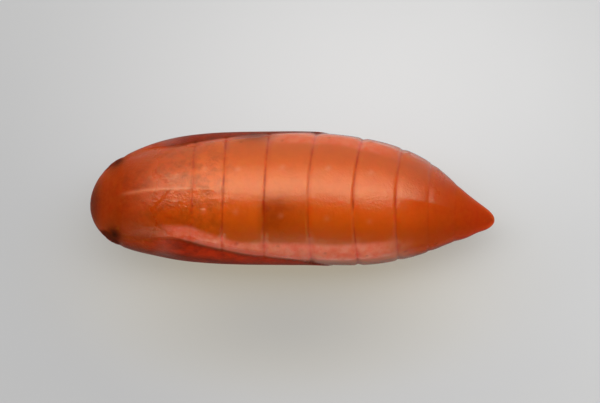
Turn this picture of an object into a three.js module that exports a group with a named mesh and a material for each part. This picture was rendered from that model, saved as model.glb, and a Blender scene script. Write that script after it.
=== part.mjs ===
// A moth pupa lying on its belly: one closed body of smooth, amber-brown cuticle.
// Frame: +X towards the tail, +Z up through the back, origin on the flat of the belly under mid-length.
// Millimetres. Angles round the body are in degrees, 0 at the middle of the back, 180 at the belly.
import * as THREE from "three";

const LENGTH = 18;
const RAD = Math.PI / 180;

// The body's shape from the front of the head to the tip of the tail: distance from the front,
// half-width, half-height, height of the axis over the surface, sideways bend of the axis.
const STATIONS = [
  { at: 0.0, halfWidth: 0.0, halfHeight: 0.0, axisHeight: 2.3, axisSide: -0.18 },
  { at: 0.5, halfWidth: 1.31, halfHeight: 1.15, axisHeight: 2.33, axisSide: -0.13 },
  { at: 1.4, halfWidth: 1.98, halfHeight: 1.78, axisHeight: 2.42, axisSide: -0.08 },
  { at: 2.8, halfWidth: 2.46, halfHeight: 2.3, axisHeight: 2.52, axisSide: 0.01 },
  { at: 4.5, halfWidth: 2.76, halfHeight: 2.52, axisHeight: 2.54, axisSide: 0.04 },
  { at: 7.7, halfWidth: 2.91, halfHeight: 2.66, axisHeight: 2.6, axisSide: 0.03 },
  { at: 9.7, halfWidth: 2.91, halfHeight: 2.67, axisHeight: 2.61, axisSide: 0.01 },
  { at: 11.7, halfWidth: 2.82, halfHeight: 2.55, axisHeight: 2.56, axisSide: -0.12 },
  { at: 13.6, halfWidth: 2.48, halfHeight: 2.16, axisHeight: 2.44, axisSide: -0.23 },
  { at: 15.1, halfWidth: 1.92, halfHeight: 1.63, axisHeight: 2.3, axisSide: -0.37 },
  { at: 16.2, halfWidth: 1.27, halfHeight: 1.1, axisHeight: 2.15, axisSide: -0.58 },
  { at: 16.8, halfWidth: 0.93, halfHeight: 0.79, axisHeight: 2.04, axisSide: -0.72 },
  { at: 17.2, halfWidth: 0.69, halfHeight: 0.58, axisHeight: 1.95, axisSide: -0.76 },
  { at: 17.6, halfWidth: 0.48, halfHeight: 0.4, axisHeight: 1.86, axisSide: -0.82 },
  { at: LENGTH, halfWidth: 0.0, halfHeight: 0.0, axisHeight: 1.78, axisSide: -0.86 },
];

// The seams between segments, where they cross the middle of the back. The first one ends the thorax.
const SEAMS = [
  { at: 4.58, depth: 0.035, width: 0.09 },
  { at: 5.94, depth: 0.035, width: 0.09 },
  { at: 7.76, depth: 0.04, width: 0.1 },
  { at: 9.69, depth: 0.04, width: 0.1 },
  { at: 11.69, depth: 0.045, width: 0.1 },
  { at: 13.58, depth: 0.04, width: 0.1 },
  { at: 15.02, depth: 0.03, width: 0.1 },
  { at: 16.2, depth: 0.015, width: 0.1 },
];
const SEAM_FRONT = 0.8; // share of its width to which a seam reaches towards the head
const SEAM_REAR = 1.6; // and towards the tail
const SEGMENT_BULGE = 0.015; // swelling of each segment between its seams, where the body is thickest
const SWELL_POWER = 4; // the higher, the flatter the swelling's middle
const THICKEST = 2.9; // half-width there
// The fold along each flank: its ridge as distance from the front and angle, how far it rises, its
// spread in degrees towards the back and the belly, and where along the body it starts and ends.
const FLANK_FOLD = {
  ridge: [[4.4, 43], [5.2, 47], [6.8, 57], [8.7, 63], [10.7, 64], [12.7, 60], [15, 58]],
  rise: 0.08,
  back: 14,
  belly: 8,
  start: [4.6, 5.2],
  end: [13.6, 15],
};
// How far each seam falls back towards the tail on the flanks, by distance from the front.
const SEAM_LAG = [
  [0, 0],
  [5.9, 0.03],
  [7.7, 0.1],
  [9.7, 0.27],
  [11.7, 0.33],
  [13.6, 0.2],
  [15.1, 0.1],
  [LENGTH, 0],
];
const SEAM_SKEW = 0.04; // the seams lean this much across the back

// Upper edges of the folded wings: distance from the front, angle from the middle of the back.
const FOREWING = {
  rise: 0.06,
  root: [1.3, 4.5], // it grows out of the body over this stretch
  tip: [11.55, 11.7], // and ends over this one
  edge: [[1.9, 66], [2.8, 56], [3.6, 51], [4.5, 53], [6, 60], [7.9, 69], [9.4, 78], [10.2, 92], [10.8, 111],
    [11.25, 134], [11.65, 172]],
};
const HINDWING = {
  rise: 0.035,
  root: [4, 4.5],
  tip: [9.3, 9.6],
  edge: [[4.3, 47], [6, 53.5], [7.9, 62], [9.3, 74]],
  thinness: 0.6, // share of the body's own relief that it hides
};
const WING_STEP = 1.6; // degrees to each side of the edge over which a wing rises

// Tongue, legs and feelers are folded along the belly, one strip outside the other. An edge
// gives each strip's outer side: distance from the front, angle from the middle of the belly.
const STRIPS = [
  { rise: 0.03, edge: [[1.5, 7], [2.4, 10], [6, 5], [9, 4], [11.2, 0.5]] },
  { rise: 0.035, edge: [[1.7, 16], [3, 23], [5, 18], [6.9, 5]] },
  { rise: 0.035, edge: [[2.1, 29], [4, 34], [6.2, 28], [8.2, 17], [10.2, 4.5]] },
  { rise: 0.045, edge: [[1.3, 60], [2.2, 49], [4, 45], [6.2, 38], [8.4, 26], [10.4, 12], [11.1, 4]] },
];
const STRIP_START = 0.25; // to each side of a strip's first point, over which it rises
const STRIP_END = [0.2, 0.1]; // before and after its last point, over which it ends
const STRIP_GROOVE = { depth: 0.045, width: 0.13, front: [1, 2], rear: [11, 11.6] };

const EYE = { at: 0.95, angle: 85, reach: 0.45, spread: 26, rise: 0.03, shoulder: 0.8 };
const EYE_RIM = { depth: 0.01, at: 1.08, width: 0.15 }; // as shares of the eye's size
const KEEL = { front: [0.9, 1.6], rear: [5.35, 5.75], rise: 0.045, width: 0.2 };
const SHOULDER = { at: 2.3, angle: 28, reach: 0.95, spread: 24, rise: 0.04 };
const COLLAR_SEAMS = [
  { at: 0.72, depth: 0.015, width: 0.09 },
  { at: 1.45, depth: 0.02, width: 0.1 },
];
// Rear edge of the big plate on the back of the thorax: angle, distance from the front.
const BACK_PLATE = {
  edge: [[0, 3.6], [10, 3.33], [16, 3.02], [21, 2.86], [27, 2.89], [35, 3.11], [47.5, 3.78]],
  front: [1.4, 2.6],
  flank: [42, 56], // angles over which it fades out on the flanks
  rise: 0.02,
  groove: 0.012,
  width: 0.12,
};
const THORAX_TWIST = 2.5; // the thorax is turned this far against the abdomen
const TWIST_FADE = [3, 9];
const TWIST_BELLY = 60; // the turn fades out within this angle of the middle of the belly
const SMOOTH_NOSE = [0, 0.7]; // relief fades out towards both ends
const SMOOTH_TAIL = [17.1, LENGTH];

const NOSE = { rings: 6, reach: 0.62 };
const TAIL = { rings: 5, reach: 0.55 };
const SEAM_RINGS = [-0.15, 0, 0.11, 0.3];
const RING_GAP = 0.5;
const PLATE_RINGS = [2.6, 2.85, 3.1, 3.35, 3.6, 3.85];

// Columns of the surface as angles, before they are moved to follow the wing and the feeler.
const WING_COLUMN = 60;
const FEELER_COLUMN = 125;
const BACK_STEP = 6;
const FLANK_STEP = 6.5;
const BELLY_STEP = 55 / 15;
const WING_COLUMN_FADE = [9.4, 12]; // past these the columns go back to their own angles
const FEELER_COLUMN_FADE = [8.4, 13];
const FEELER_COLUMN_LIMIT = 152;

const bell = (d, width) => Math.exp(-((d / width) ** 2));
const clamp = (x, low, high) => Math.min(high, Math.max(low, x));
const smoothStep = (x, low, high) => {
  const t = clamp((x - low) / (high - low), 0, 1);
  return t * t * (3 - 2 * t);
};

// A natural cubic spline through pairs of numbers. Outside them it keeps the end values.
function spline(pairs) {
  const xs = pairs.map((pair) => pair[0]);
  const ys = pairs.map((pair) => pair[1]);
  const n = xs.length;
  const factor = new Array(n).fill(0);
  const carry = new Array(n).fill(0);
  for (let i = 1; i < n - 1; i++) {
    const before = xs[i] - xs[i - 1];
    const after = xs[i + 1] - xs[i];
    const share = before / (before + after);
    const pivot = share * factor[i - 1] + 2;
    const turn = (ys[i + 1] - ys[i]) / after - (ys[i] - ys[i - 1]) / before;
    factor[i] = (share - 1) / pivot;
    carry[i] = ((6 * turn) / (before + after) - share * carry[i - 1]) / pivot;
  }
  const second = new Array(n).fill(0);
  for (let i = n - 2; i > 0; i--) second[i] = factor[i] * second[i + 1] + carry[i];
  return (x) => {
    let i = 0;
    while (i < n - 2 && x > xs[i + 1]) i++;
    const gap = xs[i + 1] - xs[i];
    const b = clamp((x - xs[i]) / gap, 0, 1);
    const a = 1 - b;
    const curve = ((a ** 3 - a) * second[i] + (b ** 3 - b) * second[i + 1]) * (gap ** 2 / 6);
    return a * ys[i] + b * ys[i + 1] + curve;
  };
}

// Widths and heights are splined as squares, which rounds off both ends of the body.
const alongBody = (key, power = 1) => spline(STATIONS.map((station) => [station.at, station[key] ** power]));
const widthSquared = alongBody("halfWidth", 2);
const heightSquared = alongBody("halfHeight", 2);
const axisHeight = alongBody("axisHeight");
const axisSide = alongBody("axisSide");
const halfWidth = (s) => Math.sqrt(Math.max(0, widthSquared(s)));
const halfHeight = (s) => Math.sqrt(Math.max(0, heightSquared(s)));
const seamLag = spline(SEAM_LAG);
const foldRidge = spline(FLANK_FOLD.ridge);
const forewingEdge = spline(FOREWING.edge);
const hindwingEdge = spline(HINDWING.edge);
const stripEdges = STRIPS.map((strip) => spline(strip.edge));
const feelerEdge = stripEdges[stripEdges.length - 1];
const plateEdge = spline(BACK_PLATE.edge);

// 1 where a wing lies over the body, 0 elsewhere, with a soft step at its edge.
function wingCover(wing, edge, s, angle) {
  const along = smoothStep(s, ...wing.root) * (1 - smoothStep(s, ...wing.tip));
  return along * smoothStep(angle, edge - WING_STEP, edge + WING_STEP);
}

function flankFold(s, angle) {
  const { rise, back, belly, start, end } = FLANK_FOLD;
  const off = angle - foldRidge(s);
  return rise * smoothStep(s, ...start) * (1 - smoothStep(s, ...end)) * bell(off, off < 0 ? back : belly);
}

// Seams between segments. Each segment swells between its seams and once more on its flanks.
function segmentRelief(s, angle) {
  const slender = halfWidth(s) / THICKEST;
  let height = 0;
  SEAMS.forEach(({ at, depth, width }, i) => {
    const d = s - at;
    height -= depth * bell(d, width * (d < 0 ? SEAM_FRONT : SEAM_REAR));
    const next = i + 1 < SEAMS.length ? SEAMS[i + 1].at : LENGTH;
    if (d > 0 && s < next) {
      const swell = 1 - Math.abs((2 * d) / (next - at) - 1) ** SWELL_POWER;
      height += swell * (slender * SEGMENT_BULGE + flankFold(s, angle));
    }
  });
  return height;
}

// The back of the thorax: shoulders, collar seams, the big plate's rear edge, the keel along the middle.
function thoraxRelief(s, angle, arc) {
  const { rise, groove, width, front, flank } = BACK_PLATE;
  const shoulder = bell(s - SHOULDER.at, SHOULDER.reach) * bell(angle - SHOULDER.angle, SHOULDER.spread);
  let height = SHOULDER.rise * shoulder;
  for (const seam of COLLAR_SEAMS) height -= seam.depth * bell(s - seam.at, seam.width);
  const past = s - plateEdge(angle);
  const plate = rise * smoothStep(s, ...front) * (1 - smoothStep(past, -width, width));
  height += (1 - smoothStep(angle, ...flank)) * (plate - groove * bell(past, width));
  const along = smoothStep(s, ...KEEL.front) * (1 - smoothStep(s, ...KEEL.rear));
  return height + KEEL.rise * along * Math.exp(-arc / KEEL.width);
}

// Strips on the belly: each swells between its inner and outer side, with a groove along the outer one.
function bellyRelief(s, fromBelly, perDegree) {
  const { depth, width, front, rear } = STRIP_GROOVE;
  const groove = (angle) => depth * bell((fromBelly - angle) * perDegree, width);
  let height = -groove(0) * smoothStep(s, ...front) * (1 - smoothStep(s, ...rear));
  let inner = 0;
  STRIPS.forEach(({ rise, edge }, i) => {
    const outer = stripEdges[i](s);
    const start = edge[0][0];
    const end = edge[edge.length - 1][0];
    const begun = smoothStep(s, start - STRIP_START, start + STRIP_START);
    const fade = begun * (1 - smoothStep(s, end - STRIP_END[0], end + STRIP_END[1]));
    const across = (fromBelly - inner) / (outer - inner);
    if (fade > 0 && across > 0 && across < 1) height += fade * rise * 4 * across * (1 - across);
    height -= fade * groove(outer);
    if (fade > 0) inner = outer;
  });
  return height;
}

function eyeRelief(s, angle) {
  const off = Math.hypot((s - EYE.at) / EYE.reach, (angle - EYE.angle) / EYE.spread);
  const rim = EYE_RIM.depth * bell(off - EYE_RIM.at, EYE_RIM.width);
  return EYE.rise * smoothStep(1 - off, 0, EYE.shoulder) - rim;
}

// Height of the surface over the plain oval body, at a distance from the front and an angle.
function relief(s, angle) {
  const perDegree = RAD * halfWidth(s);
  const fore = wingCover(FOREWING, forewingEdge(s), s, angle);
  const hind = wingCover(HINDWING, hindwingEdge(s), s, angle);
  const height =
    segmentRelief(s, angle) * (1 - Math.max(fore, HINDWING.thinness * hind)) +
    FOREWING.rise * fore +
    HINDWING.rise * hind * (1 - fore) +
    thoraxRelief(s, angle, angle * perDegree) +
    bellyRelief(s, 180 - angle, perDegree) +
    eyeRelief(s, angle);
  return height * smoothStep(s, ...SMOOTH_NOSE) * (1 - smoothStep(s, ...SMOOTH_TAIL));
}

function turnedAngle(s, phi) {
  const fade = (1 - smoothStep(s, ...TWIST_FADE)) * smoothStep(180 - Math.abs(phi), 0, TWIST_BELLY);
  return Math.abs(phi - THORAX_TWIST * fade);
}

// The point at distance s and signed angle phi. The belly is flat where it meets the surface.
function surfacePoint(s, phi) {
  const w = halfWidth(s);
  const h = halfHeight(s);
  const sin = Math.sin(phi * RAD);
  const cos = Math.cos(phi * RAD);
  const rise = relief(s, turnedAngle(s, phi)) / (Math.hypot(h * sin, w * cos) || 1);
  const side = sin * (w + rise * h);
  const up = cos * (h + rise * w);
  const along = s - LENGTH / 2 + seamLag(s) * sin * sin + SEAM_SKEW * side;
  return new THREE.Vector3(along, axisSide(s) + side, Math.max(0, axisHeight(s) + up));
}

// Distances of the rings: round at both ends, close together at each seam, even in between.
function ringDistances() {
  const marks = [...PLATE_RINGS];
  for (let i = 1; i <= NOSE.rings; i++) marks.push(NOSE.reach * (i / NOSE.rings) ** 2);
  for (let i = 1; i <= TAIL.rings; i++) marks.push(LENGTH - TAIL.reach * (i / TAIL.rings) ** 2);
  for (const { at } of SEAMS) marks.push(...SEAM_RINGS.map((d) => at + d));
  marks.sort((a, b) => a - b);
  return marks.flatMap((mark, i) => {
    const gap = i + 1 < marks.length ? marks[i + 1] - mark : 0;
    const parts = Math.max(1, Math.ceil(gap / RING_GAP));
    return Array.from({ length: parts }, (_, k) => mark + (gap * k) / parts);
  });
}

// Angles of one side's columns. Two lie close to each side of the wing's edge.
function columnAngles() {
  const angles = [];
  for (let a = BACK_STEP; a < WING_COLUMN; a += BACK_STEP) angles.push(a);
  angles.push(WING_COLUMN - WING_STEP, WING_COLUMN + WING_STEP);
  for (let a = WING_COLUMN + FLANK_STEP; a < FEELER_COLUMN; a += FLANK_STEP) angles.push(a);
  for (let a = FEELER_COLUMN; a < 180 - BELLY_STEP / 2; a += BELLY_STEP) angles.push(a);
  return angles;
}

// A column's angle at distance s, moved along with the wing's upper edge and the feeler's outer edge.
function followEdges(s, angle) {
  const wing = forewingEdge(Math.min(s, WING_COLUMN_FADE[0]));
  const feeler = Math.min(180 - feelerEdge(s), FEELER_COLUMN_LIMIT);
  const wingAt = wing + (WING_COLUMN - wing) * smoothStep(s, ...WING_COLUMN_FADE);
  const feelerAt = feeler + (FEELER_COLUMN - feeler) * smoothStep(s, ...FEELER_COLUMN_FADE);
  if (angle <= WING_COLUMN) return (angle / WING_COLUMN) * wingAt;
  if (angle >= FEELER_COLUMN) return 180 - ((180 - angle) / (180 - FEELER_COLUMN)) * (180 - feelerAt);
  const share = (angle - WING_COLUMN) / (FEELER_COLUMN - WING_COLUMN);
  return wingAt + share * (feelerAt - wingAt);
}

function pupaGeometry() {
  const rings = ringDistances();
  const side = columnAngles();
  const columns = [...side.map((angle) => -angle).reverse(), 0, ...side, 180];
  const points = [surfacePoint(0, 0)];
  for (const s of rings) {
    for (const angle of columns) {
      const moved = Math.sign(angle) * followEdges(s, Math.abs(angle));
      points.push(surfacePoint(s, moved));
    }
  }
  points.push(surfacePoint(LENGTH, 0));
  const vertex = (ring, k) => 1 + ring * columns.length + (k % columns.length);
  const lastRing = rings.length - 1;
  const lastPoint = points.length - 1;
  const triangles = [];
  for (let k = 0; k < columns.length; k++) {
    triangles.push(0, vertex(0, k), vertex(0, k + 1));
    for (let ring = 0; ring < lastRing; ring++) {
      triangles.push(vertex(ring, k), vertex(ring + 1, k), vertex(ring, k + 1));
      triangles.push(vertex(ring, k + 1), vertex(ring + 1, k), vertex(ring + 1, k + 1));
    }
    triangles.push(lastPoint, vertex(lastRing, k + 1), vertex(lastRing, k));
  }
  const geometry = new THREE.BufferGeometry().setFromPoints(points);
  geometry.setIndex(triangles);
  geometry.computeVertexNormals();
  return geometry;
}

const cuticle = new THREE.MeshStandardMaterial({ color: 0xb8480e, roughness: 0.3, metalness: 0 });
const pupa = new THREE.Mesh(pupaGeometry(), cuticle);
pupa.name = "pupa";

const specimen = new THREE.Group();
specimen.add(pupa);

export default specimen;
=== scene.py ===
"""The looks of a moth pupa that lies on its belly, seen from above with its head at the left."""
import math

import bpy
import numpy as np
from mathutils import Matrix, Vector


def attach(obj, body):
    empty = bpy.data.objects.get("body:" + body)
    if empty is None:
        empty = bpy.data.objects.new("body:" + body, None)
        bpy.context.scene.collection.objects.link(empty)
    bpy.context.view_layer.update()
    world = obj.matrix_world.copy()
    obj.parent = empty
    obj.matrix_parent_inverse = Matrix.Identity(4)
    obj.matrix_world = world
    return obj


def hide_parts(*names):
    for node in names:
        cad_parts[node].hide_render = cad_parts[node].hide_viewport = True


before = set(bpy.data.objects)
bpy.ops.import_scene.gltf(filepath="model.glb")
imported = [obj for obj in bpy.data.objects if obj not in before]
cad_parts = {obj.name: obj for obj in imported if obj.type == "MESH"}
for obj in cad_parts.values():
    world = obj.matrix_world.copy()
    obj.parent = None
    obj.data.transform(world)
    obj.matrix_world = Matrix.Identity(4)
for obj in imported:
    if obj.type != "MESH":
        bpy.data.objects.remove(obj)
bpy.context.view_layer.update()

# Sizes are in millimetres, angles in degrees round the body, 0 at the middle of the back. A pair of
# numbers says where something starts and where it is full, or where it starts to fade and is gone.
MM = 0.001
LENGTH = 18.0

# The body's shape: distance from the front, half-width, half-height, height of the axis, sideways bend.
STATIONS = np.array([
    (0.0, 0.0, 0.0, 2.3, -0.18),
    (0.5, 1.31, 1.15, 2.33, -0.13),
    (1.4, 1.98, 1.78, 2.42, -0.08),
    (2.8, 2.46, 2.3, 2.52, 0.01),
    (4.5, 2.76, 2.52, 2.54, 0.04),
    (7.7, 2.91, 2.66, 2.6, 0.03),
    (9.7, 2.91, 2.67, 2.61, 0.01),
    (11.7, 2.82, 2.55, 2.56, -0.12),
    (13.6, 2.48, 2.16, 2.44, -0.23),
    (15.1, 1.92, 1.63, 2.3, -0.37),
    (16.2, 1.27, 1.1, 2.15, -0.58),
    (16.8, 0.93, 0.79, 2.04, -0.72),
    (17.2, 0.69, 0.58, 1.95, -0.76),
    (17.6, 0.48, 0.4, 1.86, -0.82),
    (LENGTH, 0.0, 0.0, 1.78, -0.86),
])

# Seams between segments: where they cross the middle of the back, depth, width.
SEAMS = [
    (4.58, 0.035, 0.09),
    (5.94, 0.035, 0.09),
    (7.76, 0.04, 0.1),
    (9.69, 0.04, 0.1),
    (11.69, 0.045, 0.1),
    (13.58, 0.04, 0.1),
    (15.02, 0.03, 0.1),
    (16.2, 0.015, 0.1),
]
SEAM_FRONT, SEAM_REAR = 0.8, 1.6  # shares of its width to which a seam reaches each way
# How far each seam falls back towards the tail on the flanks, and how much it leans across the back.
SEAM_LAG = [
    (0, 0), (5.9, 0.03), (7.7, 0.1), (9.7, 0.27), (11.7, 0.33), (13.6, 0.2), (15.1, 0.1), (LENGTH, 0),
]
SEAM_SKEW = 0.04
SEGMENT_BULGE, SWELL_POWER = 0.015, 4  # each segment's swelling, and how flat its middle is
THICKEST = 2.9  # half-width where the body is thickest

# The fold along each flank: its ridge, rise, and spread towards the back and the belly.
FOLD_RIDGE = [(4.4, 43), (5.2, 47), (6.8, 57), (8.7, 63), (10.7, 64), (12.7, 60), (15, 58)]
FOLD_RISE, FOLD_BACK, FOLD_BELLY = 0.08, 14, 8
FOLD_FRONT, FOLD_REAR = (4.6, 5.2), (13.6, 15)

# Upper edges of the folded wings: distance from the front, angle from the middle of the back.
FOREWING_RISE, FOREWING_ROOT, FOREWING_TIP = 0.06, (1.3, 4.5), (11.55, 11.7)
FOREWING_EDGE = [
    (1.9, 66), (2.8, 56), (3.6, 51), (4.5, 53), (6, 60), (7.9, 69), (9.4, 78), (10.2, 92), (10.8, 111),
    (11.25, 134), (11.65, 172),
]
HINDWING_RISE, HINDWING_ROOT, HINDWING_TIP = 0.035, (4, 4.5), (9.3, 9.6)
HINDWING_EDGE = [(4.3, 47), (6, 53.5), (7.9, 62), (9.3, 74)]
HINDWING_THINNESS = 0.6  # share of the body's own relief that it hides
WING_STEP = 1.6  # degrees to each side of the edge over which a wing rises

# Tongue, legs and feelers along the belly: rise, outer edge from the middle of the belly.
STRIPS = [
    (0.03, [(1.5, 7), (2.4, 10), (6, 5), (9, 4), (11.2, 0.5)]),
    (0.035, [(1.7, 16), (3, 23), (5, 18), (6.9, 5)]),
    (0.035, [(2.1, 29), (4, 34), (6.2, 28), (8.2, 17), (10.2, 4.5)]),
    (0.045, [(1.3, 60), (2.2, 49), (4, 45), (6.2, 38), (8.4, 26), (10.4, 12), (11.1, 4)]),
]
STRIP_START, STRIP_END = 0.25, (0.2, 0.1)
GROOVE_DEPTH, GROOVE_WIDTH, GROOVE_FRONT, GROOVE_REAR = 0.045, 0.13, (1, 2), (11, 11.6)

# Eyes, keel, shoulders, collar seams, and the rear edge of the big plate on the back of the thorax.
EYE_AT, EYE_ANGLE, EYE_REACH, EYE_SPREAD, EYE_RISE, EYE_SHOULDER = 0.95, 85, 0.45, 26, 0.03, 0.8
EYE_RIM_DEPTH, EYE_RIM_AT, EYE_RIM_WIDTH = 0.01, 1.08, 0.15
KEEL_FRONT, KEEL_REAR, KEEL_RISE, KEEL_WIDTH = (0.9, 1.6), (5.35, 5.75), 0.045, 0.2
SHOULDER_AT, SHOULDER_ANGLE, SHOULDER_REACH, SHOULDER_SPREAD, SHOULDER_RISE = 2.3, 28, 0.95, 24, 0.04
COLLAR_SEAMS = [(0.72, 0.015, 0.09), (1.45, 0.02, 0.1)]
PLATE_EDGE = [(0, 3.6), (10, 3.33), (16, 3.02), (21, 2.86), (27, 2.89), (35, 3.11), (47.5, 3.78)]
PLATE_FRONT, PLATE_FLANK, PLATE_RISE, PLATE_GROOVE, PLATE_WIDTH = (1.4, 2.6), (42, 56), 0.02, 0.012, 0.12
THORAX_TWIST, TWIST_FADE, TWIST_BELLY = 2.5, (3, 9), 60  # the thorax is turned against the abdomen
# The relief fades out towards both ends.
SMOOTH_NOSE, SMOOTH_TAIL = (0, 0.7), (17.1, LENGTH)

# Too fine for the solid: breathing holes on the flanks and wart-like bumps on the back, each given as
# distance and angle, the wings' veins, the feelers' rings, and a slight ripple of the whole surface.
SPIRACLES = [(6.6, 50), (8.35, 52.5), (10.3, 60), (12.15, 63.5), (13.95, 65), (15.35, 66)]
SPIRACLE_REACH, SPIRACLE_DEPTH, SPIRACLE_RIM = 0.085, 0.03, 0.012
PIT_WIDTH, PIT_RIM_AT, PIT_RIM_WIDTH = 0.7, 1.2, 0.4  # as shares of a hole's reach
WARTS = [(3.82, 14), (5.09, 20), (6.53, 20), (8.5, 22), (10.5, 23), (12.4, 24)]
WART_REACH, WART_RISE = 0.12, 0.022
VEINS, VEIN_RISE, VEIN_SHARPNESS, VEIN_FRONT = 7, 0.007, 12, (2.5, 4)
RING_LENGTH, RING_RISE, RING_FRONT, RING_REAR, RING_MARGIN = 0.17, 0.006, 1.6, 10.8, 1
RIPPLES, RIPPLE_LENGTHS, RIPPLE_RISE, RIPPLE_SEED = 40, (0.45, 1.5), 0.001, 7
RIPPLE_START = (0, 1)  # half-widths over which the ripple grows from the body's ends

# The mesh's rings along the body and columns round it, closer together where there is more to show.
RINGS, COLUMNS, SPREAD_STEPS = 430, 212, 4000
END_CLOSENESS, NOSE_REACH, TAIL_REACH = 2.5, 0.7, 0.5
SEAM_CLOSENESS, SEAM_CLOSE_AT, SEAM_CLOSE_WIDTH = 1.6, 0.03, 0.14
COLUMN_CLOSENESS = [(0.9, 0, 75), (1.2, 60, 9), (0.4, 180, 40)]  # how much closer, angle, spread

# Dark lines along the seams, each as dark as in the photograph. They fade in the folds, and
# on the left and right flanks.
SEAM_DARKNESS = (0.4, 0.75, 0.85, 0.6, 0.9, 0.55, 0.3, 0.15)
SEAM_LINE, SEAM_FOLD_FADE = 0.048, 0.55
SEAM_LEFT_FADE, SEAM_LEFT_ANGLES = 0.35, (5, 25)
SEAM_RIGHT_FADE, SEAM_RIGHT_ANGLES = 0.4, (35, 55)
PLATE_LINE, PLATE_DARKNESS = 0.06, 0.1
# Dark lines along the forewing's edge, its veins, the strips' edges and the middle of the belly.
MARGIN_LINE, MARGIN_FRONT, VEIN_DARKNESS, STRIP_LINE, BELLY_LINE = 0.09, (3, 4.5), 0.6, 0.09, 0.08
# The eyes: a dark glaze out to a share of their size, with a black spot.
GLAZE_REACH, GLAZE_EDGE, GLAZE_DARKNESS = 1.15, 0.35, 0.85
PUPIL_AT, PUPIL_ANGLE, PUPIL_LENGTH, PUPIL_WIDTH = 1.17, 62, 0.34, 0.55
# The pink of the folds: partly their own thinner, paler skin, partly a painted highlight of the low light
# on the left. It reaches further up towards the rear, and is weaker on the right.
SKIN_AND_SHEEN_NARROW, SKIN_AND_SHEEN_WIDE, SKIN_AND_SHEEN_WIDENS = 5, 12, (6, 9)
SKIN_AND_SHEEN_EDGE, SKIN_AND_SHEEN_BELLY, SKIN_AND_SHEEN_FRONT, SKIN_AND_SHEEN_REAR = (5, 1), (6, 12), (2.9, 4.2), (12.2, 14)
SKIN_AND_SHEEN_RIGHT, SKIN_AND_SHEEN_RIGHT_FRONT = 0.45, (7, 8.5)
# A painted highlight along the keel, and paler warts that also stand in for their glints.
KEEL_HIGHLIGHT_WIDTH, KEEL_HIGHLIGHT_FRONT, KEEL_HIGHLIGHT_REAR, WART_PALENESS_AND_GLINT = 0.08, (1.2, 2), (4.3, 4.6), 0.6
# Shade low on the head, on the nose, on the right forewing, at the wings' roots, and in a dark wedge.
LOW_SHADE, LOW_SHADE_ANGLES, LOW_SHADE_REAR = 0.5, (58, 84), (3, 7)
NOSE_SHADE_REAR = (0, 0.7)
FOREWING_SHADE, FOREWING_SHADE_ANGLES = 0.8, (0, 30)
ROOT_SHADE, ROOT_AT, ROOT_LENGTH, ROOT_ANGLE, ROOT_SPREAD = 0.3, 4.1, 0.8, 61, 6
WEDGE_SHADE, WEDGE_AT, WEDGE_LENGTH, WEDGE_ANGLE, WEDGE_SPREAD = 0.85, 7.1, 0.8, 62, 11
# One dark stain on a ring of the abdomen, spreading less to the right than to the left.
STAIN_FRONT, STAIN_REAR, STAIN_FADE, STAIN_FADES = (7.35, 7.85), (9.5, 9.9), 0.6, (8.2, 9.4)
STAIN_ANGLE, STAIN_SPREAD = 16, (12, 30)
# Where the gloss fades, apart from what is dark: the underside, which is also darkened as painted shade,
# then flanks, neck, head, tail and seams.
UNDER_RIGHT, UNDER_LEFT = (62, 84), (68, 88)
FLANK_DULLNESS, FLANK_DULL_ANGLES = 0.3, (22, 40)
NECK_DULL_ANGLES, NECK_DULL_REAR, HEAD_DULL_REAR = (32, 58), (2.8, 4.6), (1.2, 4)
TAIL_DULL_RIGHT, TAIL_DULL_LEFT = (14.2, 16.4), (12.8, 14.6)
SEAM_DULL_WIDTH, SEAM_DULL_SHIFT = 0.08, 0.01
SEAM_DULL_LEFT, SEAM_DULL_RIGHT, SEAM_DULL_TURN = 0.85, 0.5, (-12, 8)
SPIRACLE_SPOT = 0.8  # the dark spot's size as a share of the hole's
# Stretches of the body with a tone or roughness of their own. The flanks are made darker than the middle of
# the back.
HINDWING_TINT = 0.5
SIDE_ANGLES = (12, 45)
THORAX_FRONT, THORAX_REAR = (0.5, 1.5), (5, 7)
HEAD_REAR, TAIL_FRONT = (0.3, 4), (14, 17.5)

# Colours are linear red, green and blue. The body's own tones, by share of its length:
BODY_TONES = [
    (0.0, (0.22, 0.013, 0.001)),
    (0.09, (0.37, 0.026, 0.001)),
    (0.18, (0.67, 0.086, 0.005)),
    (0.3, (0.92, 0.165, 0.012)),
    (0.5, (0.87, 0.158, 0.011)),
    (0.72, (0.87, 0.14, 0.01)),
    (0.86, (0.57, 0.06, 0.003)),
    (0.95, (0.36, 0.023, 0.001)),
    (1.0, (0.16, 0.022, 0.002)),
]
BLACK, WHITE = (0, 0, 0), (1, 1, 1)
PATCH_TONE, BLOTCH_TONE, GRAIN_TONE = (0.45, 0.05, 0.002), (0.17, 0.014, 0.001), (0.9, 0.22, 0.015)
PATCH_STRENGTH, BLOTCH_ON_THORAX, BLOTCH_ELSEWHERE, GRAIN_STRENGTH = 0.25, 0.36, 0.08, 0.2
SKIN_AND_SHEEN_TONES = (0.9, 0.13, 0.045), (1.0, 0.26, 0.14)
WING_TONES = (0.62, 0.03, 0.001), (0.34, 0.013, 0.001)
# Noise: cycles per millimetre, detail and, where it isn't a half, roughness.
PATCHES, BLOTCHES, GRAIN, CRUMPLES = (0.55, 3), (2.4, 5, 0.6), (5.0, 4, 0.6), (2.4, 4)
SEAM_BREAKS, STAIN_PATCHES, GLOSS_PATCHES, CLOUDS = (1.3, 2), (1.5, 3), (1.6, 3), (0.25, 3)
COARSE_BUMPS, FINE_BUMPS = (2.2, 2), (8.0, 3, 0.65)
# The noise between which blotches and crumples go from none to full, and how it breaks up the seams.
BLOTCH_RANGE, CRUMPLE_RANGE = (0.42, 0.68), (0.35, 0.65)
BREAK_GAIN, BREAK_SHIFT, STAIN_LEAST = 2.4, -0.7, 0.1
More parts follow.
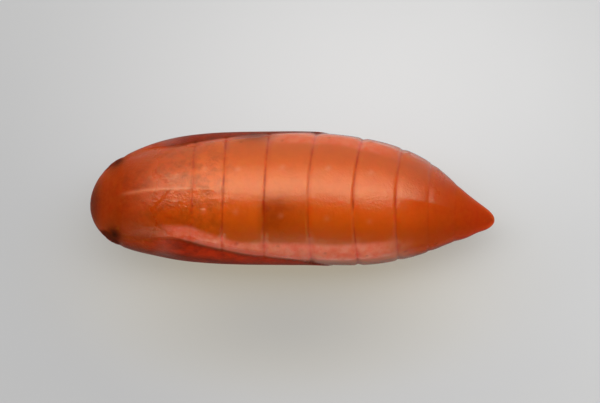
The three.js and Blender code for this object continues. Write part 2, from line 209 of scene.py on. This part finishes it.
# Roughness: the smoothest, what noise adds, and what it gains on parts of the body.
SMOOTHEST, UNEVEN_GLOSS = 0.14, 0.14
ROUGHER = [("wing", 0.3), ("head", 0.3), ("tail", 0.2), ("eye", 0.3)]
FULL_GLOSS, GLOSS_LOSS = 0.5, 0.48
BUMP_DEPTH, BUMP_STRENGTH, BUMP_MORE, COARSE_SHARE = 0.03, 0.6, 0.2, 0.7
GLOW_DEPTH = 4.0  # how far light goes through the cuticle

# The floor's colour is painted a little brighter towards one corner, as light falls there. Its glow, a
# painted light, lifts the shadow: places and reaches in metres, with the glow there. The first is a painted
# pool of light beside the pupa; the last two are a painted warm light and a painted shadow beside it.
FLOOR_HALF, FLOOR_DROP = 0.6, 0.00001
FLOOR_SLOPE = 0.5 / 0.014, 0.35 / 0.014
FLOOR_TONES = (0.235, 0.235, 0.235), (0.4, 0.4, 0.398)
CLOUD_TONE, CLOUD_STRENGTH = (0.2, 0.2, 0.2), 0.1
FLOOR_GLOW = (0.325, 0.325, 0.325)
GLOW_PATCHES = [
    ((0.0025, 0.0055), (0.018, 0.011), (0.45, 0.448, 0.445)),
    ((0.0, -0.003), (0.014, 0.0072), (0.395, 0.358, 0.275)),
    ((0.0, -0.0056), (0.0095, 0.0036), (0.262, 0.25, 0.22)),
]

# Brightness round the pupa: angle from straight up towards its right, radiance. It fades towards the
# head and the tail, between these shares of the way there. The camera sees an even backdrop.
SKY = [
    (-100, 0.1), (-93, 2.7), (-84, 2.7), (-80, 0.2), (-72, 0.05), (-5, 0.05), (-3, 0.2),
    (2, 2.3), (10, 2.75), (20, 2.35), (30, 1.8), (41, 1.15), (52, 0.65), (63, 0.45), (76, 0.55),
    (92, 0.45), (110, 0.1),
]
SKY_PEAK = 3
SKY_SIDES, SKY_ENDS = (0.72, 0.85), 0.15
BACKDROP = 0.7

# The photograph's frame: millimetres per pixel on the pupa, and what lies in its centre.
FRAME_WIDTH_PX = 600
MM_PER_PX = LENGTH / 405
AIM = Vector((0.333, -0.12, 2.6))
VIEW_TILT = 7
LENS, SENSOR = 500, 36
CLIP = (0.01, 10)  # in metres


def bell(d, width):
    return np.exp(-((d / width) ** 2))


def smooth_step(x, low, high):
    t = np.clip((x - low) / (high - low), 0, 1)
    return t * t * (3 - 2 * t)


def stretch(x, rise, fall):
    """1 between two soft ends, 0 outside them."""
    return smooth_step(x, *rise) * (1 - smooth_step(x, *fall))


def most(masks):
    return np.maximum.reduce(masks)


def spline(pairs):
    """A natural cubic spline through pairs of numbers, which keeps the end values outside them."""
    xs, ys = np.array(pairs, float).T
    gaps = np.diff(xs)
    inner = len(xs) - 2
    matrix = np.zeros((inner, inner))
    for i in range(inner):
        matrix[i, i] = 2 * (gaps[i] + gaps[i + 1])
        if i + 1 < inner:
            matrix[i, i + 1] = matrix[i + 1, i] = gaps[i + 1]
    second = np.zeros(len(xs))
    second[1:-1] = np.linalg.solve(matrix, 6 * np.diff(np.diff(ys) / gaps))

    def value(x):
        i = np.clip(np.searchsorted(xs, x) - 1, 0, len(gaps) - 1)
        b = np.clip((x - xs[i]) / gaps[i], 0, 1)
        a = 1 - b
        curve = ((a**3 - a) * second[i] + (b**3 - b) * second[i + 1]) * gaps[i] ** 2 / 6
        return a * ys[i] + b * ys[i + 1] + curve

    return value


# Widths and heights are splined as squares, which rounds off both ends of the body.
width_squared = spline(np.column_stack((STATIONS[:, 0], STATIONS[:, 1] ** 2)))
height_squared = spline(np.column_stack((STATIONS[:, 0], STATIONS[:, 2] ** 2)))
axis_height = spline(STATIONS[:, (0, 3)])
axis_side = spline(STATIONS[:, (0, 4)])
seam_lag = spline(SEAM_LAG)
fold_ridge = spline(FOLD_RIDGE)
forewing_edge = spline(FOREWING_EDGE)
hindwing_edge = spline(HINDWING_EDGE)
strip_edges = [spline(edge) for rise, edge in STRIPS]
plate_edge = spline(PLATE_EDGE)


def half_width(s):
    return np.sqrt(np.maximum(0, width_squared(s)))


def half_height(s):
    return np.sqrt(np.maximum(0, height_squared(s)))


def wing_cover(edge, root, tip, s, angle):
    """1 where a wing lies over the body, 0 elsewhere, with a soft step at its edge."""
    return stretch(s, root, tip) * smooth_step(angle, edge - WING_STEP, edge + WING_STEP)


def wing_covers(s, angle):
    fore = wing_cover(forewing_edge(s), FOREWING_ROOT, FOREWING_TIP, s, angle)
    hind = wing_cover(hindwing_edge(s), HINDWING_ROOT, HINDWING_TIP, s, angle)
    return fore, hind


def flank_fold(s, angle):
    off = angle - fold_ridge(s)
    along = stretch(s, FOLD_FRONT, FOLD_REAR)
    return FOLD_RISE * along * bell(off, np.where(off < 0, FOLD_BACK, FOLD_BELLY))


def segment_relief(s, angle):
    slender = half_width(s) / THICKEST
    height = np.zeros_like(s)
    for i, (at, depth, width) in enumerate(SEAMS):
        d = s - at
        height -= depth * bell(d, np.where(d < 0, width * SEAM_FRONT, width * SEAM_REAR))
        following = SEAMS[i + 1][0] if i + 1 < len(SEAMS) else LENGTH
        inside = (d > 0) & (s < following)
        swell = 1 - np.abs(2 * d / (following - at) - 1) ** SWELL_POWER
        height += np.where(inside, swell * (slender * SEGMENT_BULGE + flank_fold(s, angle)), 0)
    return height


def thorax_relief(s, angle, arc):
    shoulder = bell(s - SHOULDER_AT, SHOULDER_REACH) * bell(angle - SHOULDER_ANGLE, SHOULDER_SPREAD)
    height = SHOULDER_RISE * shoulder
    for at, depth, width in COLLAR_SEAMS:
        height -= depth * bell(s - at, width)
    past = s - plate_edge(angle)
    plate = PLATE_RISE * smooth_step(s, *PLATE_FRONT) * (1 - smooth_step(past, -PLATE_WIDTH, PLATE_WIDTH))
    height += (1 - smooth_step(angle, *PLATE_FLANK)) * (plate - PLATE_GROOVE * bell(past, PLATE_WIDTH))
    return height + KEEL_RISE * stretch(s, KEEL_FRONT, KEEL_REAR) * np.exp(-arc / KEEL_WIDTH)


def strip_reach(s, edge):
    """1 along a strip on the belly, 0 past its ends."""
    start, end = edge[0][0], edge[-1][0]
    return stretch(s, (start - STRIP_START, start + STRIP_START), (end - STRIP_END[0], end + STRIP_END[1]))


def belly_relief(s, from_belly, per_degree):
    def groove(angle):
        return GROOVE_DEPTH * bell((from_belly - angle) * per_degree, GROOVE_WIDTH)

    height = -groove(0) * smooth_step(s, *GROOVE_FRONT) * (1 - smooth_step(s, *GROOVE_REAR))
    inner = np.zeros_like(s)
    for (rise, edge), outer_edge in zip(STRIPS, strip_edges):
        outer = outer_edge(s)
        fade = strip_reach(s, edge)
        across = np.clip((from_belly - inner) / np.maximum(outer - inner, 0.01), 0, 1)
        height += fade * (rise * 4 * across * (1 - across) - groove(outer))
        inner = np.where(fade > 0, outer, inner)
    return height


def eye_distance(s, angle):
    return np.hypot((s - EYE_AT) / EYE_REACH, (angle - EYE_ANGLE) / EYE_SPREAD)


def eye_relief(s, angle):
    off = eye_distance(s, angle)
    rim = EYE_RIM_DEPTH * bell(off - EYE_RIM_AT, EYE_RIM_WIDTH)
    return EYE_RISE * smooth_step(1 - off, 0, EYE_SHOULDER) - rim


def spot_distance(s, angle, per_degree, at, spot_angle):
    return np.hypot(s - at, (angle - spot_angle) * per_degree)


def wing_veins(s, angle, fore):
    """1 along the forewing's veins, which lie evenly between its edge and the feeler."""
    edge = forewing_edge(s)
    across_wing = (angle - edge) / np.maximum(180 - strip_edges[-1](s) - edge, 1)
    on_wing = fore * (across_wing > 0) * (across_wing < 1)
    vein = np.abs(np.cos(across_wing * VEINS * math.pi / 2)) ** VEIN_SHARPNESS
    return on_wing * vein * smooth_step(s, *VEIN_FRONT)


def fine_relief(s, angle, per_degree, fore):
    """What is too small for the faceted solid: breathing holes, warts, wing veins, rings of the feelers."""
    height = np.zeros_like(s)
    for at, spot_angle in SPIRACLES:
        off = spot_distance(s, angle, per_degree, at, spot_angle) / SPIRACLE_REACH
        rim = SPIRACLE_RIM * bell(off - PIT_RIM_AT, PIT_RIM_WIDTH)
        height += rim - SPIRACLE_DEPTH * bell(off, PIT_WIDTH)
    for at, spot_angle in WARTS:
        height += WART_RISE * bell(spot_distance(s, angle, per_degree, at, spot_angle), WART_REACH)
    height += VEIN_RISE * wing_veins(s, angle, fore)
    feeler = strip_edges[-1](s)
    inner = strip_edges[-2](s)
    from_belly = 180 - angle
    across = (from_belly > inner + RING_MARGIN) & (from_belly < feeler - RING_MARGIN)
    on_feeler = across & (s > RING_FRONT) & (s < RING_REAR)
    return height + np.where(on_feeler, RING_RISE * np.cos(s * 2 * math.pi / RING_LENGTH), 0)


def relief(s, angle):
    """Height of the surface over the plain oval body, at a distance from the front and an angle."""
    per_degree = np.radians(half_width(s))
    fore, hind = wing_covers(s, angle)
    height = (
        segment_relief(s, angle) * (1 - np.maximum(fore, HINDWING_THINNESS * hind))
        + FOREWING_RISE * fore
        + HINDWING_RISE * hind * (1 - fore)
        + thorax_relief(s, angle, angle * per_degree)
        + belly_relief(s, 180 - angle, per_degree)
        + eye_relief(s, angle)
        + fine_relief(s, angle, per_degree, fore)
    )
    return height * smooth_step(s, *SMOOTH_NOSE) * (1 - smooth_step(s, *SMOOTH_TAIL))


def turned_angle(s, phi):
    """The angle from the middle of the back of the thorax, which is turned a little, or of the abdomen."""
    turn = THORAX_TWIST * (1 - smooth_step(s, *TWIST_FADE)) * smooth_step(180 - np.abs(phi), 0, TWIST_BELLY)
    return np.abs(phi - turn)


def ripple(points):
    """A slight unevenness of the surface: waves in many directions, as a sum of sines."""
    random = np.random.default_rng(RIPPLE_SEED)
    height = np.zeros(len(points))
    for _ in range(RIPPLES):
        direction = random.normal(size=3)
        direction /= np.linalg.norm(direction)
        length = random.uniform(*RIPPLE_LENGTHS)
        phase = random.uniform(0, 2 * math.pi)
        height += length * np.sin(points @ direction * 2 * math.pi / length + phase)
    return RIPPLE_RISE * height / math.sqrt(RIPPLES / 2)


def surface_points(s, phi):
    """Points in millimetres at distance s and signed angle phi. The belly is flat where it rests."""
    w, h = half_width(s), half_height(s)
    sin, cos = np.sin(np.radians(phi)), np.cos(np.radians(phi))
    tilt = np.maximum(np.hypot(h * sin, w * cos), 1e-6)
    plain = np.column_stack((s, w * sin, h * cos))
    rise = (relief(s, turned_angle(s, phi)) + ripple(plain) * smooth_step(w, *RIPPLE_START)) / tilt
    side, up = sin * (w + rise * h), cos * (h + rise * w)
    x = s - LENGTH / 2 + seam_lag(s) * sin * sin + SEAM_SKEW * side
    return np.column_stack((x, axis_side(s) + side, np.maximum(0, axis_height(s) + up)))


def spread(low, high, count, density):
    """Numbers from low to high, closer together where the density is higher."""
    fine = np.linspace(low, high, SPREAD_STEPS)
    share = np.cumsum(density(fine))
    share = (share - share[0]) / (share[-1] - share[0])
    return np.interp(np.linspace(0, 1, count), share, fine)


def ring_density(s):
    density = 1 + END_CLOSENESS * bell(s, NOSE_REACH) + END_CLOSENESS * bell(s - LENGTH, TAIL_REACH)
    for at, depth, width in SEAMS:
        density += SEAM_CLOSENESS * bell(s - at - SEAM_CLOSE_AT, SEAM_CLOSE_WIDTH)
    return density


def column_density(angle):
    density = np.ones_like(angle)
    for closeness, at, width in COLUMN_CLOSENESS:
        density += closeness * bell(angle - at, width)
    return density


def grid():
    rings = spread(0, LENGTH, RINGS + 2, ring_density)[1:-1]
    half = spread(0, 180, COLUMNS // 2 + 1, column_density)
    columns = np.concatenate((-half[-2:0:-1], half))
    return rings, columns


def build_mesh():
    """A closed surface of rings, with a point at each end, and the masks that its material reads."""
    rings, columns = grid()
    s = np.repeat(rings, len(columns))
    phi = np.tile(columns, len(rings))
    s = np.concatenate(([0.0], s, [LENGTH]))
    phi = np.concatenate(([0.0], phi, [0.0]))
    points = surface_points(s, phi)
    n = len(columns)
    tail, last = 1 + (len(rings) - 1) * n, len(points) - 1
    faces = []
    for k in range(n):
        following = (k + 1) % n
        faces.append((0, 1 + k, 1 + following))
        faces.append((last, tail + following, tail + k))
    ring, k = np.meshgrid(np.arange(len(rings) - 1), np.arange(n), indexing="ij")
    a = 1 + ring * n + k
    b = 1 + ring * n + (k + 1) % n
    quads = np.stack((a, a + n, b + n, b), axis=-1).reshape(-1, 4)
    faces.extend(map(tuple, quads.tolist()))
    mesh = bpy.data.meshes.new("pupa_skin")
    mesh.from_pydata((points * MM).tolist(), [], faces)
    mesh.shade_smooth()
    for name, values in cuticle_masks(s, phi).items():
        mesh.attributes.new(name, "FLOAT", "POINT").data.foreach_set("value", values)
    return mesh


def seam_lines(s, width, shift=0.0):
    pairs = zip(SEAMS, SEAM_DARKNESS)
    return most([darkness * bell(s - seam[0] - shift, width) for seam, darkness in pairs])


def seam_mask(s, phi, angle, cover, fold_skin_and_sheen):
    seam = seam_lines(s, SEAM_LINE) * (1 - cover) * (1 - SEAM_FOLD_FADE * fold_skin_and_sheen)
    seam *= 1 - SEAM_LEFT_FADE * smooth_step(-phi, *SEAM_LEFT_ANGLES)
    seam *= 1 - SEAM_RIGHT_FADE * smooth_step(phi, *SEAM_RIGHT_ANGLES)
    plate = bell(s - plate_edge(angle), PLATE_LINE) * (1 - smooth_step(angle, *PLATE_FLANK))
    return np.maximum(seam, PLATE_DARKNESS * plate)


def line_mask(s, angle, per_degree, fore, margin):
    from_belly = 180 - angle
    veins = VEIN_DARKNESS * wing_veins(s, angle, fore)
    lines = [margin, veins, fore * bell(from_belly * per_degree, BELLY_LINE)]
    for (rise, edge), outer_edge in zip(STRIPS, strip_edges):
        lines.append(strip_reach(s, edge) * bell((from_belly - outer_edge(s)) * per_degree, STRIP_LINE))
    return most(lines)


def eye_mask(s, angle, per_degree):
    glaze = smooth_step(GLAZE_REACH - eye_distance(s, angle), 0, GLAZE_EDGE)
    across = (angle - PUPIL_ANGLE) * per_degree / PUPIL_WIDTH
    return np.maximum(GLAZE_DARKNESS * glaze, bell(np.hypot((s - PUPIL_AT) / PUPIL_LENGTH, across), 1))


# The folds' pink: their paler skin together with a painted highlight, weaker on the right.
def fold_skin_and_sheen_mask(s, phi, angle):
    off = angle - fold_ridge(s)
    edge = -SKIN_AND_SHEEN_NARROW - (SKIN_AND_SHEEN_WIDE - SKIN_AND_SHEEN_NARROW) * smooth_step(s, *SKIN_AND_SHEEN_WIDENS)
    across = smooth_step(off, edge - SKIN_AND_SHEEN_EDGE[0], edge + SKIN_AND_SHEEN_EDGE[1])
    across *= 1 - smooth_step(off, *SKIN_AND_SHEEN_BELLY)
    right = SKIN_AND_SHEEN_RIGHT * smooth_step(s, *SKIN_AND_SHEEN_RIGHT_FRONT)
    return across * stretch(s, SKIN_AND_SHEEN_FRONT, SKIN_AND_SHEEN_REAR) * np.where(phi > 0, right, 1)


def shade_mask(s, phi, angle, fore):
    return most([
        LOW_SHADE * smooth_step(angle, *LOW_SHADE_ANGLES) * (1 - smooth_step(s, *LOW_SHADE_REAR)),
        1 - smooth_step(s, *NOSE_SHADE_REAR),
        FOREWING_SHADE * fore * smooth_step(phi, *FOREWING_SHADE_ANGLES),
        ROOT_SHADE * bell(s - ROOT_AT, ROOT_LENGTH) * bell(angle - ROOT_ANGLE, ROOT_SPREAD),
        WEDGE_SHADE * bell(s - WEDGE_AT, WEDGE_LENGTH) * bell(phi - WEDGE_ANGLE, WEDGE_SPREAD),
    ])


def stain_mask(s, phi):
    along = stretch(s, STAIN_FRONT, STAIN_REAR) * (1 - STAIN_FADE * smooth_step(s, *STAIN_FADES))
    return along * bell(phi + STAIN_ANGLE, np.where(phi > -STAIN_ANGLE, *STAIN_SPREAD))


def spot_mask(s, angle, per_degree, places, width):
    return most([bell(spot_distance(s, angle, per_degree, at, around), width) for at, around in places])


def cuticle_masks(s, phi):
    """Where the cuticle is dark, pale or dull, painted shade and painted highlights among them: numbers
    from 0 to 1 at each point, for the material.
    """
    angle = turned_angle(s, phi)
    per_degree = np.radians(half_width(s))
    fore, hind = wing_covers(s, angle)
    fold_skin_and_sheen = fold_skin_and_sheen_mask(s, phi, angle) * (1 - fore)
    margin = bell((angle - forewing_edge(s)) * per_degree, MARGIN_LINE)
    margin *= stretch(s, MARGIN_FRONT, FOREWING_TIP)
    holes = spot_mask(s, angle, per_degree, SPIRACLES, SPIRACLE_REACH * SPIRACLE_SPOT)
    warts = spot_mask(s, angle, per_degree, WARTS, WART_REACH)
    keel_highlight = bell(angle * per_degree, KEEL_HIGHLIGHT_WIDTH) * stretch(s, KEEL_HIGHLIGHT_FRONT, KEEL_HIGHLIGHT_REAR)
    # The underside: painted shade in the colour, and a duller gloss.
    shaded_underside = np.where(phi > 0, smooth_step(angle, *UNDER_RIGHT), smooth_step(angle, *UNDER_LEFT))
    eye = eye_mask(s, angle, per_degree)
    shade = shade_mask(s, phi, angle, fore)
    seam_dullness = SEAM_DULL_LEFT + (SEAM_DULL_RIGHT - SEAM_DULL_LEFT) * smooth_step(phi, *SEAM_DULL_TURN)
    dull = most([
        shaded_underside, fore, eye, holes, shade, margin,
        FLANK_DULLNESS * smooth_step(-phi, *FLANK_DULL_ANGLES),
        smooth_step(angle, *NECK_DULL_ANGLES) * (1 - smooth_step(s, *NECK_DULL_REAR)),
        1 - smooth_step(s, *HEAD_DULL_REAR),
        np.where(phi > 0, smooth_step(s, *TAIL_DULL_RIGHT), smooth_step(s, *TAIL_DULL_LEFT)),
        seam_dullness * seam_lines(s, SEAM_DULL_WIDTH, SEAM_DULL_SHIFT),
    ])
    return {
        "along": s / LENGTH,
        "seam": seam_mask(s, phi, angle, np.maximum(fore, HINDWING_THINNESS * hind), fold_skin_and_sheen),
        "wing": np.maximum(fore, HINDWING_TINT * hind),
        "eye": eye,
        "stain": stain_mask(s, phi),
        "shade": shade,
        "line": line_mask(s, angle, per_degree, fore, margin),
        "shaded_underside": shaded_underside,
        "side": smooth_step(angle, *SIDE_ANGLES),
        "thorax": stretch(s, THORAX_FRONT, THORAX_REAR),
        "pale_and_highlight": np.maximum(keel_highlight, WART_PALENESS_AND_GLINT * warts),
        "dull": dull,
        "fold": fold_skin_and_sheen,
        "head": 1 - smooth_step(s, *HEAD_REAR),
        "tail": smooth_step(s, *TAIL_FRONT),
        "spot": holes,
    }


class Nodes:
    """Short calls for building a node tree."""

    def __init__(self, tree):
        self.tree = tree

    def link(self, source, target):
        """Feeds an input from another node, or sets it to a number, a vector or a colour."""
        if isinstance(source, bpy.types.NodeSocket):
            self.tree.links.new(source, target)
        else:
            target.default_value = (*source, 1.0) if target.type == "RGBA" else source

    def fill(self, inputs, values):
        for key, value in values.items():
            self.link(value, inputs[key])

    def make(self, kind, values=None, **settings):
        node = self.tree.nodes.new(kind)
        for key, value in settings.items():
            setattr(node, key, value)
        self.fill(node.inputs, values or {})
        return node

    def mask(self, name):
        return self.make("ShaderNodeAttribute", attribute_name=name).outputs["Fac"]

    def place(self, kind="Object"):
        return self.make("ShaderNodeTexCoord").outputs[kind]

    def axes(self, vector):
        return self.make("ShaderNodeSeparateXYZ", {0: vector}).outputs

    def math(self, operation, *numbers, clamp=False):
        values = dict(enumerate(numbers))
        return self.make("ShaderNodeMath", values, operation=operation, use_clamp=clamp).outputs[0]

    def vector_math(self, operation, *vectors, output="Vector"):
        node = self.make("ShaderNodeVectorMath", dict(enumerate(vectors)), operation=operation)
        return node.outputs[output]

    def mix(self, factor, a, b, kind="RGBA"):
        values = {"Factor": factor, "A": a, "B": b}
        return self.make("ShaderNodeMix", values, data_type=kind).outputs["Result"]

    def soft_range(self, value, start, end, at_start, at_end):
        """Goes smoothly from one number to another while a value goes from start to end."""
        values = {"Value": value, "From Min": start, "From Max": end, "To Min": at_start, "To Max": at_end}
        return self.make("ShaderNodeMapRange", values, interpolation_type="SMOOTHSTEP").outputs["Result"]

    def noise(self, scale, detail, roughness=0.5):
        """Noise with a scale in cycles per millimetre."""
        values = {"Vector": self.place(), "Scale": scale / MM, "Detail": detail, "Roughness": roughness}
        return self.make("ShaderNodeTexNoise", values).outputs["Fac"]

    def near(self, center, reach):
        """1 at a point of the floor, fading to 0 at a reach along X and one along Y."""
        shifted = self.vector_math("SUBTRACT", self.place(), (*center, 0))
        scaled = self.vector_math("MULTIPLY", shifted, (1 / reach[0], 1 / reach[1], 0))
        return self.soft_range(self.vector_math("LENGTH", scaled, output="Value"), 0, 1, 1, 0)

    def ramp(self, factor, stops):
        node = self.make("ShaderNodeValToRGB", {"Fac": factor})
        elements = node.color_ramp.elements
        stops = list(stops)
        while len(elements) < len(stops):
            elements.new(0.5)
        for element, (position, color) in zip(elements, stops):
            element.position = position
            element.color = (*color, 1.0)
        return node.outputs["Color"]


def new_material(name):
    """A new material, its nodes, and the inputs of its shader."""
    material = bpy.data.materials.new(name)
    material.use_nodes = True
    return material, Nodes(material.node_tree), material.node_tree.nodes["Principled BSDF"].inputs


def cuticle_color(nodes):
    """The body's own tones, made uneven by noise, with the tints of the masks laid over them in turn,
    painted shade and painted highlights among them.
    """
    color = nodes.ramp(nodes.mask("along"), BODY_TONES)
    patches = nodes.math("MULTIPLY", nodes.noise(*PATCHES), PATCH_STRENGTH)
    color = nodes.mix(patches, color, PATCH_TONE)
    blotches = nodes.ramp(nodes.noise(*BLOTCHES), zip(BLOTCH_RANGE, (BLACK, WHITE)))
    strength = nodes.math("MULTIPLY", nodes.mask("thorax"), BLOTCH_ON_THORAX)
    strength = nodes.math("ADD", strength, BLOTCH_ELSEWHERE)
    color = nodes.mix(nodes.math("MULTIPLY", blotches, strength), color, BLOTCH_TONE)
    grain = nodes.math("MULTIPLY", nodes.noise(*GRAIN), GRAIN_STRENGTH)
    color = nodes.mix(grain, color, GRAIN_TONE)
    crumples = nodes.ramp(nodes.noise(*CRUMPLES), zip(CRUMPLE_RANGE, (BLACK, WHITE)))
    broken = nodes.math("MULTIPLY", nodes.noise(*SEAM_BREAKS), BREAK_GAIN)
    broken = nodes.math("ADD", broken, BREAK_SHIFT, clamp=True)
    tints = [
        ("stain", nodes.math("ADD", nodes.noise(*STAIN_PATCHES), STAIN_LEAST), (0.32, 0.03, 0.004)),
        # the flanks made darker than the middle of the back
        ("side", 0.5, (0.4, 0.055, 0.002)),
        # painted highlight in part: the folds' pink is their paler skin and the low light's sheen
        ("fold", 0.85, nodes.mix(crumples, *SKIN_AND_SHEEN_TONES)),
        ("wing", 0.9, nodes.mix(blotches, *WING_TONES)),
        # painted shade: the underside and the lowest flanks made dark
        ("shaded_underside", 0.85, (0.13, 0.01, 0.001)),
        ("line", 0.6, (0.03, 0.003, 0.001)),
        ("shade", 0.85, (0.08, 0.012, 0.002)),
        # painted highlight along the keel, with paler warts that also stand in for glints
        ("pale_and_highlight", 0.4, (0.9, 0.32, 0.14)),
        ("seam", broken, (0.36, 0.004, 0.0)),
        ("spot", 0.4, (0.1, 0.012, 0.003)),
        ("eye", 0.93, (0.035, 0.006, 0.001)),
    ]
    for name, strength, tone in tints:
        color = nodes.mix(nodes.math("MULTIPLY", nodes.mask(name), strength), color, tone)
    return color


def cuticle_roughness(nodes):
    uneven = nodes.math("MULTIPLY", nodes.noise(*GLOSS_PATCHES), UNEVEN_GLOSS)
    rough = nodes.math("ADD", uneven, SMOOTHEST)
    for name, share in ROUGHER:
        rough = nodes.math("ADD", rough, nodes.math("MULTIPLY", nodes.mask(name), share))
    return rough


def cuticle_bumps(nodes):
    """Fine grain over coarse dents, stronger on the thorax and the folds."""
    rugged = nodes.math("MAXIMUM", nodes.mask("thorax"), nodes.mask("fold"))
    dents = nodes.math("MULTIPLY", nodes.noise(*COARSE_BUMPS), COARSE_SHARE)
    bump = nodes.make("ShaderNodeBump", {
        "Strength": nodes.math("ADD", nodes.math("MULTIPLY", rugged, BUMP_MORE), BUMP_STRENGTH),
        "Distance": BUMP_DEPTH * MM,
        "Height": nodes.math("ADD", nodes.noise(*FINE_BUMPS), dents),
    })
    return bump.outputs["Normal"]


def cuticle_material():
    material, nodes, shader = new_material("amber_cuticle")
    loss = nodes.math("MULTIPLY", nodes.mask("dull"), GLOSS_LOSS)
    nodes.fill(shader, {
        "Base Color": cuticle_color(nodes),
        "Roughness": cuticle_roughness(nodes),
        "IOR": 1.9,
        "Specular IOR Level": nodes.math("SUBTRACT", FULL_GLOSS, loss),
        "Specular Tint": (0.84, 0.72, 0.48),
        "Subsurface Weight": 1.0,
        "Subsurface Radius": (1.0, 0.25, 0.08),
        "Subsurface Scale": GLOW_DEPTH * MM,
        "Normal": cuticle_bumps(nodes),
    })
    return material


def floor_material():
    material, nodes, shader = new_material("pale_board")
    place = nodes.axes(nodes.place())
    # painted light: the floor's colour grows brighter towards one corner
    along, across = (nodes.math("MULTIPLY", place[axis], slope) for axis, slope in zip("XY", FLOOR_SLOPE))
    tone = nodes.math("ADD", nodes.math("ADD", along, across), 0.5, clamp=True)
    cloud = nodes.math("MULTIPLY", nodes.noise(*CLOUDS), CLOUD_STRENGTH)
    glow = FLOOR_GLOW
    # painted light and shadow: the floor glows, brighter, warmer or dimmer near the pupa
    for center, reach, patch in GLOW_PATCHES:
        glow = nodes.mix(nodes.near(center, reach), glow, patch)
    nodes.fill(shader, {
        "Base Color": nodes.mix(cloud, nodes.mix(tone, *FLOOR_TONES), CLOUD_TONE),
        "Emission Color": glow,
        "Emission Strength": 1.0,
        "Roughness": 0.85,
        "Specular IOR Level": 0.2,
    })
    return material


def add_object(name, data):
    thing = bpy.data.objects.new(name, data)
    bpy.context.scene.collection.objects.link(thing)
    return thing


def add_pupa():
    pupa = add_object("pupa_skin", build_mesh())
    pupa.data.materials.append(cuticle_material())
    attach(pupa, "root")
    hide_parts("pupa")


def add_floor():
    mesh = bpy.data.meshes.new("floor")
    signs = (-1, -1), (1, -1), (1, 1), (-1, 1)
    mesh.from_pydata([(x * FLOOR_HALF, y * FLOOR_HALF, -FLOOR_DROP) for x, y in signs], [], [(0, 1, 2, 3)])
    floor = add_object("floor", mesh)
    mesh.materials.append(floor_material())


def add_world():
    """A room with one broad soft light over the pupa's right side and a paler band low on its left."""
    world = bpy.data.worlds.new("room")
    world.use_nodes = True
    bpy.context.scene.world = world
    nodes = Nodes(world.node_tree)
    place = nodes.axes(nodes.place("Generated"))
    angle = nodes.math("ARCTAN2", place["Y"], place["Z"])
    turn = nodes.math("ADD", nodes.math("MULTIPLY", angle, 0.5 / math.pi), 0.5)
    curve = nodes.make("ShaderNodeFloatCurve", {"Value": turn})
    points = curve.mapping.curves[0].points
    points[0].location, points[1].location = (0, 0), (1, 0)
    for degrees, radiance in SKY:
        points.new(degrees / 360 + 0.5, radiance / SKY_PEAK)
    curve.mapping.update()
    radiance = nodes.math("MULTIPLY", curve.outputs["Value"], SKY_PEAK)
    sideways = nodes.soft_range(nodes.math("ABSOLUTE", place["X"]), *SKY_SIDES, 0, 1)
    radiance = nodes.mix(sideways, radiance, SKY_ENDS, kind="FLOAT")
    seen = nodes.make("ShaderNodeLightPath").outputs["Is Camera Ray"]
    nodes.fill(nodes.tree.nodes["Background"].inputs, {
        "Color": WHITE,
        "Strength": nodes.mix(seen, radiance, BACKDROP, kind="FLOAT"),
    })


def add_camera():
    camera = add_object("camera", bpy.data.cameras.new("camera"))
    camera.data.lens = LENS
    camera.data.sensor_width = SENSOR
    tilt = math.radians(VIEW_TILT)
    back = Vector((0, -math.sin(tilt), math.cos(tilt)))
    distance = FRAME_WIDTH_PX * MM_PER_PX / SENSOR * LENS
    camera.location = (AIM + back * distance) * MM
    camera.rotation_euler = back.to_track_quat("Z", "Y").to_euler()
    camera.data.clip_start, camera.data.clip_end = CLIP
    bpy.context.scene.camera = camera


add_pupa()
add_floor()
add_world()
add_camera()
bpy.context.scene.view_settings.view_transform = "Standard"
